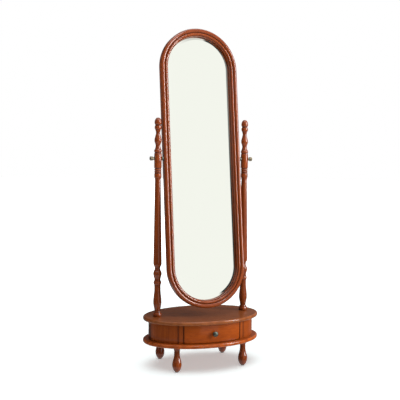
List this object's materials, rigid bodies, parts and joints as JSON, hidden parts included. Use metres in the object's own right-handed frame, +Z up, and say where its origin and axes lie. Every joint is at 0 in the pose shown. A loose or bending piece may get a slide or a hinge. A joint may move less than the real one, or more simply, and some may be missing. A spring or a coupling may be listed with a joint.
{
  "type": "cheval floor mirror",
  "caption": "Full-length round-ended mirror that tilts between turned posts, on an oval base with a shallow drawer and turned feet.",
  "frame": {"origin": "on the floor, under the centre of the oval base", "axes": "+Z up; the mirror and drawer face -Y; +X to the right of someone standing behind the mirror's glass line and looking along +Y at its front"},
  "size_m": [0.57, 0.386, 1.5998],
  "materials": {
    "cherry": "reddish-brown stained hardwood under gloss lacquer",
    "cherry_top": "the same stain on the broad top, gloss lacquer, grain along the long axis",
    "drawer_cherry": "slightly lighter, more orange veneer under gloss lacquer",
    "bare_wood": "unfinished pale hardwood",
    "plywood": "sanded plywood",
    "silvered_glass": "silvered float glass with a bevelled edge",
    "packing_felt": "grey packing felt board",
    "bronze": "dark antique bronze",
    "steel": "zinc plated",
    "brass": "plain turned brass",
    "nylon": "brown nylon"
  },
  "bodies": {
    "base": {"top_board": "cherry_top", "bottom_board": "cherry", "back_panel": "cherry", "front_stile_left": "cherry", "front_stile_right": "cherry", "end_panel_left": "cherry", "end_panel_right": "cherry", "partition_left": "bare_wood", "partition_right": "bare_wood", "drawer_runner_left": "bare_wood", "drawer_runner_right": "bare_wood", "drawer_kicker_left": "bare_wood", "drawer_kicker_right": "bare_wood", "drawer_stop": "bare_wood", "foot_front_left": "cherry", "foot_front_right": "cherry", "foot_rear_left": "cherry", "foot_rear_right": "cherry", "foot_stud_front_left": "steel", "foot_stud_front_right": "steel", "foot_stud_rear_left": "steel", "foot_stud_rear_right": "steel", "foot_glide_front_left": "nylon", "foot_glide_front_right": "nylon", "foot_glide_rear_left": "nylon", "foot_glide_rear_right": "nylon", "post_left": "cherry", "post_right": "cherry", "post_bolt_left": "steel", "post_bolt_right": "steel", "pivot_spacer_left": "bronze", "pivot_spacer_right": "bronze"},
    "mirror": {"frame_side_left": "cherry", "frame_side_right": "cherry", "frame_arch_top": "cherry", "frame_arch_bottom": "cherry", "pivot_insert_left": "brass", "pivot_insert_right": "brass", "mirror_glass": "silvered_glass", "glass_packing": "packing_felt", "backing_board": "plywood", "backing_screw_1": "steel", "backing_screw_2": "steel", "backing_screw_3": "steel", "backing_screw_4": "steel", "backing_screw_5": "steel", "backing_screw_6": "steel", "backing_screw_7": "steel", "backing_screw_8": "steel"},
    "drawer": {"drawer_front": "drawer_cherry", "drawer_side_left": "bare_wood", "drawer_side_right": "bare_wood", "drawer_back": "bare_wood", "drawer_bottom": "plywood", "drawer_knob": "bronze", "drawer_knob_screw": "steel"},
    "left_washer": {"pivot_washer_left": "bronze"},
    "left_knob": {"pivot_knob_left": "bronze"},
    "right_washer": {"pivot_washer_right": "bronze"},
    "right_knob": {"pivot_knob_right": "bronze"}
  },
  "joints": [
    {"name": "mirror_tilt", "type": "hinge", "parent": "base", "child": "mirror", "pos_m": [0, 0, 0.9783], "axis": [1, 0, 0], "continuous": true},
    {"name": "drawer_slide", "type": "slide", "parent": "base", "child": "drawer", "axis": [0, -1, 0], "range_m": [0, 0.15]},
    {"name": "left_knob_travel", "type": "slide", "parent": "base", "child": "left_washer", "axis": [-1, 0, 0], "range_m": [0, 0.002]},
    {"name": "left_knob_turn", "type": "hinge", "parent": "left_washer", "child": "left_knob", "pos_m": [-0.251, 0, 0.9783], "axis": [-1, 0, 0], "range_deg": [0, 722]},
    {"name": "right_knob_travel", "type": "slide", "parent": "base", "child": "right_washer", "axis": [1, 0, 0], "range_m": [0, 0.002]},
    {"name": "right_knob_turn", "type": "hinge", "parent": "right_washer", "child": "right_knob", "pos_m": [0.251, 0, 0.9783], "axis": [1, 0, 0], "range_deg": [0, 722]}
  ],
  "couplings": [
    {"joint": "left_knob_turn", "follows": "left_knob_travel", "rad_per_m": 6283.2},
    {"joint": "right_knob_turn", "follows": "right_knob_travel", "rad_per_m": 6283.2}
  ]
}
